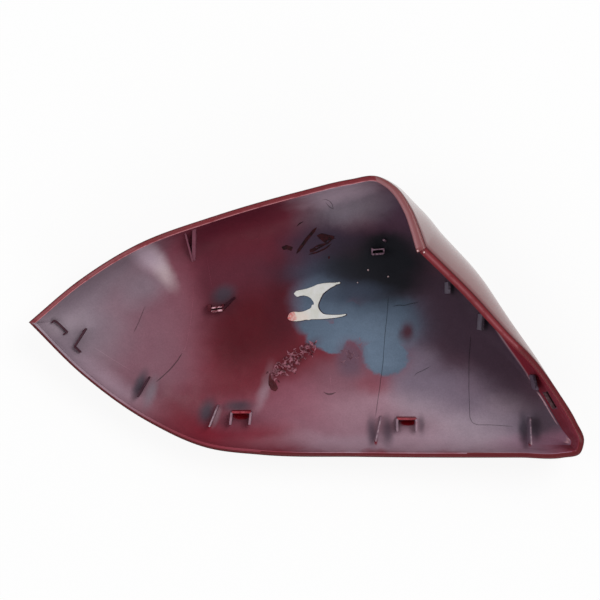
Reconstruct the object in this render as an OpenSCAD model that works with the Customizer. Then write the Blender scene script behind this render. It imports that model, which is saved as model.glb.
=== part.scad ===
// Wing mirror cover: one moulded shell seen into its hollow side. It rests on its painted outer
// face. The rim is the open edge, with its point at -X and its flat lower edge at -Y.

/* [Overall] */
// length from the pointed end to the round corner, mm
cover_len = 240; // [210:1:260]
// width across the rim, mm
cover_wid = 122; // [105:1:135]
// height from the main face to the top of the rim, mm
cover_h = 56; // [46:1:62]
// thickness of the moulded wall, mm
wall = 2.4; // [2:0.1:2.8]

/* [Main face] */
// curve radius of the main face along its length, mm
face_r_len = 520; // [420:10:800]
// curve radius of the main face across it, mm
face_r_wid = 300; // [250:10:500]
// how far the tall end wall bellies outward, as a share of the drawn shape
belly = 1; // [0.4:0.1:1.3]

/* [Lip] */
// width of the bead at its stepped end, mm
lip_w = 4.4; // [3.6:0.1:5.5]
// how far the bead stands above the rim, mm
lip_h = 0.9; // [0.5:0.1:1.6]

/* [Ribs and clips] */
// thickness of the blades and clip walls at their root, mm
rib_t = 1.5; // [1.2:0.1:2]
// thickness of the same blades at their top, mm
rib_tip = 1; // [0.8:0.1:1.2]
// height of the four gusset blades above the main face, mm
gusset_h = 10; // [8:0.5:13]
// width of the two lower clip pockets, mm
pocket_w = 8.4; // [7:0.2:11]
// height of the lower clip pockets above the main face, mm
pocket_h = 9; // [8:0.5:12]
// height of the two clip towers on the main face, mm
tower_h = 6; // [4:0.5:9]
// height of the three tabs behind the tall wall, mm
tab_h = 19; // [14:0.5:24]
// height of the two hooks near the pointed end, mm
hook_h = 4.5; // [3:0.5:7]
// how far the tops of the hooks and tower cheeks rise or fall along their length, mm
top_slope = 1; // [0.4:0.1:1.6]
// height of the longer wedge rib at the upper edge, mm
wedge_h = 20; // [15:0.5:22]
// height of the bracing fin at its outer end, mm
fin_h = 1.5; // [1:0.1:2.5]

/* [Window] */
// depth of the window sunk into the tall wall, mm
window_d = 1.2; // [0.8:0.1:1.5]
// width of the same window along the wall, mm
window_w = 8; // [6:0.2:9.6]
// height of the same window up the wall, mm
window_l = 10; // [7:0.5:12]

/* [Hidden] */
// the drawn shape is 240 x 122 x 56; every position below is given at that size
kx = cover_len / 240;
ky = cover_wid / 122;
kz = cover_h / 56;
// stations between two rim rows, and rings on the main face, the shoulder and the wall
n_sub = 4;
n_face = 5;
n_turn = 8;
n_wall = 6;
// lowest point of the main face, and the keel line that the rings close on
low = [25, 0];
keel = [[-60, 0], [70, -20]];
keel_share = 0.12;
colour = "#6e1c28";

// rim x, y, height; shoulder x, y; length of the shoulder curve; belly; 1 at a sharp corner
rim_rows = [
    [-120.8, -2.0, 27, -117, -2, 10, 0, 1],
    [-98.7, 16.3, 29, -97, 14, 16, 0, 0],
    [-73.0, 31.8, 33, -72, 30, 20, 0, 0],
    [-40.0, 43.6, 39, -40, 44, 22, 0, 0],
    [-3.0, 54.0, 45, -2, 54, 22, 0, 0],
    [18.0, 58.8, 49, 19, 60, 22, 0, 0],
    [29.0, 60.0, 51, 31, 61, 22, 0.5, 0],
    [36.5, 56.0, 52.5, 38.5, 57.5, 20, 1, 0],
    [43.5, 46.5, 54, 47, 49, 18, 2.5, 0],
    [47.5, 36.5, 55.5, 55, 41, 18, 4, 0],
    [49.8, 29.8, 56, 59.5, 36, 18, 4.5, 1],
    [70.5, 9.3, 55, 76, 14.5, 14, 5, 0],
    [84.0, -5.5, 52, 84.9, -4.5, 9, 4.8, 0],
    [97.0, -18.5, 48, 95.9, -20.2, 6, 3.4, 0],
    [107.5, -32.5, 43, 105.9, -35.1, 5.5, 1.9, 0],
    [115.0, -44.0, 38, 113, -47.5, 5.5, 1.3, 0],
    [119.0, -53.5, 34, 118, -55, 6, 0, 0],
    [117.3, -58.6, 33, 116.5, -58, 7, 0, 0],
    [110.0, -60.5, 32, 110.5, -58, 9, 0, 0],
    [92.0, -60.6, 30, 93, -57.5, 14, 0, 0],
    [23.0, -60.6, 24, 24, -56, 20, 0, 0],
    [-20.5, -59.8, 22, -20, -56, 20, 0, 0],
    [-44.0, -56.8, 21, -42, -53, 20, 0, 0],
    [-69.0, -45.8, 20, -67, -42, 18, 0, 0],
    [-97.7, -25.3, 22, -95, -22, 14, 0, 0],
];
row_n = len(rim_rows);
stations = row_n * n_sub;
rings = n_face + n_turn + n_wall + 1;

function face_z(p) = pow(p[0] - low[0] * kx, 2) / (2 * face_r_len)
    + pow(p[1] - low[1] * ky, 2) / (2 * face_r_wid);
function scaled(r) = [r[0] * kx, r[1] * ky, r[2] * kz, r[3] * kx, r[4] * ky, r[5] * kz, r[6] * belly * kz];
rows = [for (r = rim_rows) scaled(r)];
function row(i) = rows[(i + row_n) % row_n];
function sharp(i) = rim_rows[(i + row_n) % row_n][7] == 1;
spans = [for (i = [0:row_n - 1]) let(d = row(i + 1) - row(i)) norm([d[0], d[1], d[2]])];
slopes = [for (i = [0:row_n - 1]) (row(i + 1) - row(i)) / spans[i]];
// tangent where row i meets its neighbours, weighted by the spans
tangents = [
    for (i = [0:row_n - 1])
        let(k = (i + row_n - 1) % row_n)
        (spans[k] * slopes[i] + spans[i] * slopes[k]) / (spans[k] + spans[i])
];
function station(s) =
    let(
        i = floor(s / n_sub),
        t = s / n_sub - i,
        a = sharp(i) ? slopes[i] : tangents[i],
        b = sharp(i + 1) ? slopes[i] : tangents[(i + 1) % row_n]
    )
    (2 * t * t * t - 3 * t * t + 1) * row(i)
    + (t * t * t - 2 * t * t + t) * spans[i] * a
    + (3 * t * t - 2 * t * t * t) * row(i + 1)
    + (t * t * t - t * t) * spans[i] * b;

// nearest soft-ended point of the keel line
function keel_point(p) =
    let(
        a = [keel[0][0] * kx, keel[0][1] * ky],
        d = [keel[1][0] * kx, keel[1][1] * ky] - a,
        t = 2 * ((p - a) * d) / (d * d) - 1,
        u = t / pow(1 + pow(abs(t), 4), 0.25)
    )
    a + d * (u + 1) / 2;

// point of the outer skin at row values r, for ring j
function skin_point(r, j) =
    let(
        k = keel_point([r[0], r[1]]),
        arm = [r[3], r[4]] - k,
        foot = face_z([r[3], r[4]]),
        rise = [r[0] - r[3], r[1] - r[4], r[2] - foot],
        fa = min(0.85, r[5] / norm(arm)),
        fb = min(0.9, r[5] / norm(rise)),
        t = j < n_face ? j / n_face : j < n_face + n_turn
            ? (j - n_face) / n_turn
            : (j - n_face - n_turn) / n_wall,
        out = j < n_face
            ? keel_share + (1 - fa - keel_share) * t
            : j < n_face + n_turn ? (1 - fa) * (1 - t) * (1 - t) + 2 * t * (1 - t) + t * t : 1,
        up = j < n_face ? 0 : j < n_face + n_turn ? fb * t * t : fb + (1 - fb) * t,
        swell = r[6] * 4 * up * (1 - up),
        q = k + arm * out
    )
    [q[0], q[1], face_z(q)] + rise * up + concat(arm / norm(arm) * swell, 0);

outer = [for (s = [0:stations - 1]) let(r = station(s)) [for (j = [0:rings - 1]) skin_point(r, j)]];

function at(g, i, j) = g[(i + stations) % stations][max(0, min(rings - 1, j))];
function unit(v) = v / norm(v);
// miter direction of the skin at one point, long enough to move both side faces by 1
function miter(g, i, j) =
    let(
        up = at(g, i, j + 1) - at(g, i, j - 1),
        n1 = unit(cross(at(g, i, j) - at(g, i - 1, j), up)),
        n2 = unit(cross(at(g, i + 1, j) - at(g, i, j), up))
    )
    (n1 + n2) / (1 + n1 * n2);
miters = [for (i = [0:stations - 1]) [for (j = [0:rings - 1]) miter(outer, i, j)]];
function inset(d) = [for (i = [0:stations - 1]) outer[i] + d * miters[i]];

function flatten(g) = [for (line = g) for (p = line) p];
every = flatten(outer);
function lowest(k) = min([for (p = every) p[k]]);
function highest(k) = max([for (p = every) p[k]]);
origin = [(lowest(0) + highest(0)) / 2, (lowest(1) + highest(1)) / 2, lowest(2)];

// faces of one skin, first ring closed by strips across the keel
function id(i, j, base) = base + (i % stations) * rings + j;
function skin_faces(base, flip) =
    let(
        sides = [
            for (i = [0:stations - 1])
                for (j = [0:rings - 2])
                    for (f = [
                        [id(i, j, base), id(i + 1, j + 1, base), id(i, j + 1, base)],
                        [id(i, j, base), id(i + 1, j, base), id(i + 1, j + 1, base)],
                    ])
                        f
        ],
        half = stations / 2,
        ends = [
            for (i = [0:floor(half) - 1])
                for (f = [
                    [id(i, 0, base), id(stations - i - 1, 0, base), id(i + 1, 0, base)],
                    [id(i, 0, base), id(stations - i, 0, base), id(stations - i - 1, 0, base)],
                ])
                    if (f[0] != f[2] && f[0] != f[1] && f[1] != f[2]) f
        ],
        all = concat(sides, ends)
    )
    flip ? [for (f = all) [f[2], f[1], f[0]]] : all;

module shell() {
    inner = inset(wall);
    base = stations * rings;
    last = rings - 1;
    rim = [
        for (i = [0:stations - 1])
            for (f = [
                [id(i, last, 0), id(i + 1, last, base), id(i, last, base)],
                [id(i, last, 0), id(i + 1, last, 0), id(i + 1, last, base)],
            ])
                f
    ];
    polyhedron(
        points = concat(flatten(outer), flatten(inner)),
        faces = concat(skin_faces(0, false), skin_faces(base, true), rim)
    );
}

// the hollow, starting half way into the wall: everything inside is trimmed to it
module hollow() {
    mid = inset(wall / 2);
    last = rings - 1;
    top = [for (i = [0:stations - 1]) [mid[i][last][0], mid[i][last][1], 1.6 * cover_h]];
    base = stations * rings;
    polyhedron(
        points = concat(flatten(mid), top),
        faces = concat(
            skin_faces(0, false),
            [
                for (i = [0:stations - 1])
                    for (f = [
                        [id(i, last, 0), base + (i + 1) % stations, base + i],
                        [id(i, last, 0), id(i + 1, last, 0), base + (i + 1) % stations],
                    ])
                        f
            ],
            [[for (i = [0:stations - 1]) base + i]]
        )
    );
}

// blade standing on the main face from p to q, hp and hq high, thinner at the top
module blade(p, q, hp, hq, root = rib_t, tip = rib_tip) {
    a = [p[0] * kx, p[1] * ky];
    b = [q[0] * kx, q[1] * ky];
    turn = atan2(b[1] - a[1], b[0] - a[0]);
    za = face_z(a) + wall;
    zb = face_z(b) + wall;
    hull() {
        translate([a[0], a[1], za - 2 * wall]) rotate(turn) foot(root, 0.1);
        translate([b[0], b[1], zb - 2 * wall]) rotate(turn) foot(root, -0.1);
        translate([a[0], a[1], za + hp]) rotate(turn) foot(tip, 0.1);
        translate([b[0], b[1], zb + hq]) rotate(turn) foot(tip, -0.1);
    }
}

// thin end plate of a blade, t wide, reaching d along the blade
module foot(t, d) {
    translate([min(0, d), -t / 2, -0.1]) cube([abs(d), t, 0.1]);
}

module tip_hooks() {
    // first hook, with a short return at each end
    blade([-110, -1.2], [-104.6, -6.4], hook_h, hook_h);
    blade([-110, -1.2], [-111.4, -2.2], hook_h, hook_h);
    blade([-104.6, -6.4], [-106.4, -7.4], hook_h, hook_h);
    // second hook, turned across the first
    blade([-96.6, -4.8], [-101.4, -12.6], hook_h, hook_h + top_slope);
    blade([-101.4, -12.6], [-98.8, -15.2], hook_h + top_slope, hook_h);
    blade([-96.6, -4.8], [-98.2, -6.4], hook_h, hook_h - top_slope);
}

module gussets() {
    blade([-67.5, -26], [-73, -34.5], gusset_h * 0.5, gusset_h * 1.3);
    blade([-38, -38.5], [-42.6, -48], gusset_h * 0.6, gusset_h * 1.2);
    blade([32.5, -43.5], [29.8, -54], gusset_h * 0.6, gusset_h * 1.4);
    blade([97, -44], [97, -55], gusset_h * 0.8, gusset_h * 1.5);
}

// clip pocket with its back at p, open towards the lower edge
module pocket(p, lean) {
    w = pocket_w / 2 / kx;
    d = 5.5;
    blade([p[0] - w, p[1]], [p[0] + w, p[1]], pocket_h, pocket_h);
    blade([p[0] - w, p[1]], [p[0] - w - lean, p[1] - d], pocket_h, pocket_h);
    blade([p[0] + w, p[1]], [p[0] + w - lean, p[1] - d], pocket_h, pocket_h);
}

module pockets() {
    pocket([-29, -41.5], 0.6);
    pocket([43.6, -44.5], 0);
}

// clip tower: two side cheeks with a bridge, and a bracing fin up and to the right
module tower(p, fin) {
    blade([p[0] - 3, p[1] - 1], [p[0] + 2.5, p[1] - 0.6], tower_h, tower_h);
    blade([p[0] - 3, p[1] - 1], [p[0] - 3.4, p[1] + 2.6], tower_h, tower_h - top_slope);
    blade([p[0] + 2.5, p[1] - 0.6], [p[0] + 2.2, p[1] + 2.4], tower_h, tower_h - top_slope);
    if (fin > 0)
        blade([p[0] + 2.5, p[1] + 0.4], [p[0] + 2.5 + fin, p[1] + 0.4 + fin], tower_h, fin_h);
}

module towers() {
    tower([-39.5, 3.5], 5);
    tower([30.5, 28.5], 0);
    blade([35, 33.5], [33.4, 34.4], tower_h / 2, tower_h / 2);
}

// tabs standing just clear of the inside of the tall wall, of 23, 22 and 16 at a tab height of 19
module tabs() {
    blade([60.5, 15.5], [60.5, 10.5], tab_h * 23 / 19, tab_h * 23 / 19, rib_t * 4 / 3, rib_tip * 1.5);
    blade([75.5, 1.5], [75, -5.5], tab_h * 22 / 19, tab_h * 22 / 19, rib_t * 1.6, rib_tip * 2);
    blade([98.2, -25], [99.8, -31.5], tab_h * 16 / 19, tab_h * 16 / 19, rib_t * 1.6, rib_tip * 2);
}

// low pair of ribs that meet in a point below the upper edge
module wedge_ribs() {
    blade([-53, 36.5], [-50.6, 24.5], wedge_h * 0.8, wedge_h * 0.06, rib_t * 0.8, rib_tip * 0.8);
    blade([-49, 39.5], [-50.2, 25], wedge_h, wedge_h * 0.06, rib_t * 22 / 15, rib_tip * 1.6);
}

// bead over the rim: it rises out of the wall at the top of the outline and ends in a step
module bead() {
    first = 5 * n_sub + 2.3;
    stop = 10 * n_sub - 0.03;
    last = rings - 1;
    count = 20;
    function place(i) = first + (stop - first) * i / count;
    function rim_at(s) = skin_point(station(s), last);
    function inward(s) = let(d = rim_at(s) - rim_at(s - 0.1)) unit([d[1], -d[0], 0]);
    function width(t) = 0.7 * wall + (lip_w - 0.7 * wall) * pow(t, 0.7);
    function lift(t) = (lip_h + wall / 8) * min(1, 3.5 * t) - wall / 8;
    function section(i) =
        let(
            p = rim_at(place(i)),
            m = inward(place(i)),
            w = width(i / count),
            h = lift(i / count)
        )
        [
            p + m * wall / 12 - [0, 0, wall / 2],
            p + m * wall / 12 + [0, 0, h * 0.3],
            p + m * (0.25 * w) + [0, 0, h * 0.8],
            p + m * (0.5 * w) + [0, 0, h],
            p + m * (0.8 * w) + [0, 0, h * 0.7],
            p + m * w - [0, 0, wall * 5 / 24],
            p + m * w - [0, 0, wall * 2 / 3],
            p + m * (0.6 * wall) - [0, 0, wall * 15 / 8],
        ];
    k = 8;
    polyhedron(
        points = [for (i = [0:count]) for (p = section(i)) p],
        faces = concat(
            [[for (j = [0:k - 1]) j]],
            [[for (j = [k - 1:-1:0]) count * k + j]],
            [
                for (i = [0:count - 1])
                    for (j = [0:k - 1])
                        for (f = [
                            [i * k + j, (i + 1) * k + j, (i + 1) * k + (j + 1) % k],
                            [i * k + j, (i + 1) * k + (j + 1) % k, i * k + (j + 1) % k],
                        ])
                            f
            ]
        )
    );
}

// shallow window sunk into the inside of the tall wall, just above its foot
module wall_window() {
    s = 14 * n_sub;
    j = n_face + n_turn + 1;
    along = unit(at(outer, s + 1, j) - at(outer, s - 1, j));
    away = unit(miters[s][j]);
    up = cross(away, along);
    c = outer[s][j] + away * (wall - window_d);
    m = [
        [along[0], up[0], away[0], c[0]],
        [along[1], up[1], away[1], c[1]],
        [along[2], up[2], away[2], c[2]],
        [0, 0, 0, 1],
    ];
    multmatrix(m)
        translate([-window_w / 2, -window_l / 2, 0]) cube([window_w, window_l, 2.5 * wall]);
}

module cover() {
    color(colour)
        translate(-origin)
            difference() {
                union() {
                    shell();
                    bead();
                    intersection() {
                        hollow();
                        union() {
                            tip_hooks();
                            gussets();
                            pockets();
                            towers();
                            tabs();
                            wedge_ribs();
                        }
                    }
                }
                wall_window();
            }
}

cover();
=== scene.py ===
"""Dressed model of a painted wing mirror cover, seen into its hollow side.

The shell is lofted again at a finer step from the sizes the solid has, with rounded rim edges,
seated ribs and clips, and the paint, overspray and marks of the moulding.
Everything is in metres, in the frame of the solid.
"""
import math
import random

import bmesh
import bpy
import numpy as np
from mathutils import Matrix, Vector
from mathutils.bvhtree import BVHTree
from mathutils.geometry import delaunay_2d_cdt


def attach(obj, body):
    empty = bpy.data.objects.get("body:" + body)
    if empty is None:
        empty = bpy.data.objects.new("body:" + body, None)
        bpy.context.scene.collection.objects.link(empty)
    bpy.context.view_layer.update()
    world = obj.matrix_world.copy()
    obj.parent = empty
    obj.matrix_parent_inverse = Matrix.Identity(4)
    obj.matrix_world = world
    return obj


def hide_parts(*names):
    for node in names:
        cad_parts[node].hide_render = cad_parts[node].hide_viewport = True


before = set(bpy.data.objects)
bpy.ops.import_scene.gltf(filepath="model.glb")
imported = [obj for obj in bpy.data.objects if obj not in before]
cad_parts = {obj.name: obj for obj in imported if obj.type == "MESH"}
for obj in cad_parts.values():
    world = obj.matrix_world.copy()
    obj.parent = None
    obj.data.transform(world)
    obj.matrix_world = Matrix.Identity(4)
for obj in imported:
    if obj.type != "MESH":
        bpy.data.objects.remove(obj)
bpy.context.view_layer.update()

MM = 0.001
SHARP = math.radians(38)

# sizes of the solid, in mm; the rows of the rim below are drawn at full size
WALL = 2.4
# radii of the main face along and across, and where it is lowest
FACE_R_LEN = 520.0
FACE_R_WID = 300.0
LOW_X = 25.0
# line the shell is lofted from, and share of the way out at which the skin starts
KEEL = np.array([[-60.0, 0.0], [70.0, -20.0]])
KEEL_SHARE = 0.12
# width and height of the bead over the rim
LIP_W = 4.4
LIP_H = 0.86
# thickness of a blade at its root and its tip, and size of its eased edges
ROOT = 1.5
TIP = 1.0
CHAMFER = 0.22
# window in the end wall: length, height and depth
WINDOW = (8.0, 10.0, 1.2)

# rim x, y, height; shoulder x, y; length of the shoulder curve; belly; 1 at a sharp corner
RIM_ROWS = np.array([
    [-120.8, -2, 27, -117, -2, 10, 0, 1],
    [-98.7, 16.3, 29, -97, 14, 16, 0, 0],
    [-73, 31.8, 33, -72, 30, 20, 0, 0],
    [-40, 43.6, 39, -40, 44, 22, 0, 0],
    [-3, 54, 45, -2, 54, 22, 0, 0],
    [18, 58.8, 49, 19, 60, 22, 0, 0],
    [29, 60, 51, 31, 61, 22, 0.5, 0],
    [36.5, 56, 52.5, 38.5, 57.5, 20, 1, 0],
    [43.5, 46.5, 54, 47, 49, 18, 2.5, 0],
    [47.5, 36.5, 55.5, 55, 41, 18, 4, 0],
    [49.8, 29.8, 56, 59.5, 36, 18, 4.5, 1],
    [70.5, 9.3, 55, 76, 14.5, 14, 5, 0],
    [84, -5.5, 52, 84.9, -4.5, 9, 4.8, 0],
    [97, -18.5, 48, 95.9, -20.2, 6, 3.4, 0],
    [107.5, -32.5, 43, 105.9, -35.1, 5.5, 1.9, 0],
    [115, -44, 38, 113, -47.5, 5.5, 1.3, 0],
    [119, -53.5, 34, 118, -55, 6, 0, 0],
    [117.3, -58.6, 33, 116.5, -58, 7, 0, 0],
    [110, -60.5, 32, 110.5, -58, 9, 0, 0],
    [92, -60.6, 30, 93, -57.5, 14, 0, 0],
    [23, -60.6, 24, 24, -56, 20, 0, 0],
    [-20.5, -59.8, 22, -20, -56, 20, 0, 0],
    [-44, -56.8, 21, -42, -53, 20, 0, 0],
    [-69, -45.8, 20, -67, -42, 18, 0, 0],
    [-97.7, -25.3, 22, -95, -22, 14, 0, 0],
])
# stations from row to row of the table; rings of the face, the turn and the wall
SUB = 12
FACE_RINGS, TURN_RINGS, WALL_RINGS = 10, 14, 10
# origin of the part in the rows' frame, set to keep this finer skin in the solid's box
ORIGIN = np.array([-0.9, 0.102, 0.0])

# places along the rim, in stations or in rows of the table
BEAD = (5 * SUB + 7, 10 * SUB)
WINDOW_STATION = 14 * SUB
LOWER_RIM = 17.5
END = 99
RIM_ROUND = 0.55
# wall thickened inward past the bead: rows, mm, and share by ring from the top
SWELL_AT = [9.7, 10.0, 11.4, 12.4, 13.6]
SWELL_BY = [0, 1.6, 1.4, 0.7, 0]
SWELL_RINGS = (1, 0.8, 0.35, 0.08)
# painted highlight along the crease at the foot of the end wall: stations, strength, width in mm,
# share of the bend below it; and the rings over which the foot bends
CREASE_HIGHLIGHT = [
    (12 * SUB, 13 * SUB + 7, 0.35, 0.5, 0.5),
    (13 * SUB + 11, 17 * SUB + 4, 1, 0.8, 0.35),
]
BEND_RINGS = (8, 30)
# how many rings of the rim have its paint, up to each row
RED_RINGS = ((19.3, 5), (21, 4), (END, 3))
# bands on the rim: after and before which row, first ring past the outer edge, values by ring
BANDS = {
    # rubbed paint at the edges, which also stands for the painted highlight along the rim's inner
    # edge
    "worn": [
        (-1, 7, 1, (0, 0.05, 0.1, 0.25, 1, 0.35)), (-1, 2, 1, (0.15, 0.25, 0.3)),
        (9.9, 12.5, 3, (0.4,)),
    ],
    # painted shade on the rim, darkest along its outer edge and just under the lower rim
    "rim_shade": [
        (-1, END, 0, (1, 0.8)), (12.5, END, 2, (0.45,) * 3),
        (20, END, 2, (0.55,) * 3), (LOWER_RIM, END, -2, (1, 1)),
    ],
    "end_wall": [(9.9, LOWER_RIM, 5, (1,) * 4)],
}
# colour of the end wall: row where it starts, rows to its full, row where it has faded
END_WALL = (10.5, 2, 18.6)

# the camera looks straight down on a square frame; PIXEL is a pixel's size at unit distance
FRAME = 600
EYE = np.array([-2.355, 7.539, 1000.0])
LENS, SENSOR = 134.79, 36.0
PIXEL = SENSOR / LENS / FRAME
# height at which patches are sized; reach and height taken for a place off the skin
SKIN_Z = 12
OFF_REACH, OFF_Z = 980, 8


def face_z(x, y):
    return (x - LOW_X) ** 2 / (2 * FACE_R_LEN) + y ** 2 / (2 * FACE_R_WID)


def stations():
    """Rows of the rim table, splined to SUB steps between each two."""
    rows, sharp = RIM_ROWS[:, :7], RIM_ROWS[:, 7]
    n = len(rows)
    step = np.roll(rows, -1, 0) - rows
    span = np.linalg.norm(step[:, :3], axis=1)[:, None]
    slope = step / span
    before, span_b = np.roll(slope, 1, 0), np.roll(span, 1, 0)
    tangent = (span_b * slope + span * before) / (span_b + span)
    out = []
    for i in range(n):
        k = (i + 1) % n
        a = slope[i] if sharp[i] else tangent[i]
        b = slope[i] if sharp[k] else tangent[k]
        for t in np.arange(SUB) / SUB:
            out.append(
                (2 * t ** 3 - 3 * t ** 2 + 1) * rows[i]
                + (t ** 3 - 2 * t ** 2 + t) * span[i] * a
                + (3 * t ** 2 - 2 * t ** 3) * rows[k]
                + (t ** 3 - t ** 2) * span[i] * b
            )
    return np.array(out)


def keel_points(p):
    d = KEEL[1] - KEEL[0]
    t = 2 * ((p - KEEL[0]) @ d) / (d @ d) - 1
    u = t / (1 + np.abs(t) ** 4) ** 0.25
    return KEEL[0] + d * ((u + 1) / 2)[:, None]


def outer_skin(rows):
    """Grid of points, stations by rings, from the keel over the shoulder to the rim."""
    keel = keel_points(rows[:, :2])
    arm = rows[:, 3:5] - keel
    reach = np.linalg.norm(arm, axis=1)
    foot = face_z(rows[:, 3], rows[:, 4])
    rise = np.stack([rows[:, 0] - rows[:, 3], rows[:, 1] - rows[:, 4], rows[:, 2] - foot], 1)
    fa = np.minimum(0.85, rows[:, 5] / reach)
    fb = np.minimum(0.9, rows[:, 5] / np.linalg.norm(rise, axis=1))
    steps = [
        (KEEL_SHARE + (1 - fa - KEEL_SHARE) * t, 0 * fb) for t in np.arange(FACE_RINGS) / FACE_RINGS
    ]
    steps += [
        ((1 - fa) * (1 - t) ** 2 + 2 * t * (1 - t) + t * t, fb * t * t)
        for t in np.arange(TURN_RINGS) / TURN_RINGS
    ]
    steps += [(0 * fa + 1, fb + (1 - fb) * t) for t in np.arange(WALL_RINGS + 1) / WALL_RINGS]
    rings = []
    for out, up in steps:
        q = keel + arm * out[:, None]
        p = np.column_stack([q, face_z(q[:, 0], q[:, 1])]) + rise * up[:, None]
        swell = rows[:, 6] * 4 * up * (1 - up)
        p[:, :2] += arm / reach[:, None] * swell[:, None]
        rings.append(p)
    return np.stack(rings, 1)


def unit(v):
    return v / np.linalg.norm(v, axis=-1, keepdims=True)


def miters(grid):
    """Direction that moves both side faces of each point inward by one."""
    up = np.empty_like(grid)
    up[:, 1:-1] = grid[:, 2:] - grid[:, :-2]
    up[:, 0] = grid[:, 1] - grid[:, 0]
    up[:, -1] = grid[:, -1] - grid[:, -2]
    n1 = unit(np.cross(grid - np.roll(grid, 1, 0), up))
    n2 = unit(np.cross(np.roll(grid, -1, 0) - grid, up))
    return (n1 + n2) / (1 + (n1 * n2).sum(-1, keepdims=True))


def add_object(name, data):
    obj = bpy.data.objects.new(name, data)
    bpy.context.scene.collection.objects.link(obj)
    return obj


def raw_object(name, points, faces, bevel=0):
    """Mesh object without material, with normals outward and edges eased by bevel."""
    mesh = bpy.data.meshes.new(name)
    mesh.from_pydata([tuple(p) for p in points], [], [tuple(f) for f in faces])
    bm = bmesh.new()
    bm.from_mesh(mesh)
    bmesh.ops.recalc_face_normals(bm, faces=bm.faces)
    if bevel:
        bmesh.ops.bevel(bm, geom=bm.edges[:], offset=bevel, segments=3, profile=0.5, affect="EDGES")
    bm.to_mesh(mesh)
    bm.free()
    return add_object(name, mesh)


def make_mesh(name, points, faces, materials, face_slots=None, values=None):
    """Finished piece from points in mm; values are per-point floats that the materials read."""
    obj = raw_object(name, (np.asarray(points) - ORIGIN) * MM, faces)
    mesh = obj.data
    for m in materials:
        mesh.materials.append(m)
    if face_slots is not None:
        mesh.polygons.foreach_set("material_index", face_slots)
    for key, data in (values or {}).items():
        layer = mesh.attributes.new(key, "FLOAT", "POINT")
        layer.data.foreach_set("value", np.asarray(data, dtype=np.float32).reshape(-1))
    mesh.polygons.foreach_set("use_smooth", [True] * len(mesh.polygons))
    mesh.set_sharp_from_angle(angle=SHARP)
    mesh.update()
    return obj


def joined(parts):
    """Points and faces of several meshes as one."""
    points, faces, base = [], [], 0
    for got, quads in parts:
        points.append(got)
        faces += [tuple(base + i for i in f) for f in quads]
        base += len(got)
    return np.concatenate(points), faces


def ring_faces(count, width, close=True):
    """Quads between rows of width points, count rows, closed round the rows."""
    quads = []
    for i in range(count if close else count - 1):
        a, b = i * width, ((i + 1) % count) * width
        quads += [(a + j, b + j, b + j + 1, a + j + 1) for j in range(width - 1)]
    return quads


def strip_faces(count, width, column=0):
    """Faces that close a ring by strips across the keel."""
    quads = []
    for i in range(count // 2):
        corner = [i, i + 1, (count - i - 1) % count, (count - i) % count]
        keep = [k for n, k in enumerate(corner) if k not in corner[:n]]
        if len(keep) > 2:
            quads.append(tuple(k * width + column for k in keep))
    return quads


ROWS = stations()
OUTER = outer_skin(ROWS)
INNER = OUTER + WALL * miters(OUTER)
COUNT, RINGS = OUTER.shape[:2]


def swell_rim():
    """Thicken the wall inward below its end face, where the bead has ended, as the photo shows."""
    more = np.interp(np.arange(COUNT) / SUB, SWELL_AT, SWELL_BY)
    across = unit(INNER[:, -1] - OUTER[:, -1])
    for ring, part in enumerate(SWELL_RINGS, 1):
        INNER[:, -ring] += across * (more * part)[:, None]


swell_rim()


def rim_rings():
    """Rounded end face of the wall, from the outer skin over to the inner one."""
    o, i, r = OUTER[:, -1], INNER[:, -1], RIM_ROUND
    across = unit(i - o)
    down_o = unit(OUTER[:, -2] - o)
    down_i = unit(INNER[:, -2] - i)
    return [
        o + down_o * r,
        o + down_o * r * 0.3 + across * r * 0.3,
        o + across * r,
        (o + i) / 2,
        i - across * r,
        i + down_i * r * 0.3 - across * r * 0.3,
        i + down_i * r,
    ]


def crease_highlight_values():
    """Painted highlight: 1 along the foot of the inner end wall, by station and ring of the inner
    skin.
    """
    values = np.zeros((COUNT, RINGS))
    for first, last, strength, wide, part in CREASE_HIGHLIGHT:
        for i in range(first, last):
            step = np.diff(INNER[i], axis=0)
            way = unit(step)
            turns = np.arccos(np.clip((way[1:] * way[:-1]).sum(-1), -1, 1))
            bends = np.cumsum(turns[BEND_RINGS[0]:BEND_RINGS[1]])
            foot = BEND_RINGS[0] + 1 + np.searchsorted(bends, bends[-1] * part)
            arc = np.concatenate([[0], np.cumsum(np.linalg.norm(step, axis=1))])
            values[i] = strength * np.exp(-((arc - arc[foot]) / wide) ** 2)
    return values


def bands(table, width):
    """Values by station and ring of the wall, zero outside the bands of the table."""
    at = np.arange(COUNT) / SUB
    out = np.zeros((COUNT, width))
    for after, before, ring, row in table:
        first = RINGS - 1 + ring
        out[(at > after) & (at < before), first:first + len(row)] = row
    return out


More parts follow.
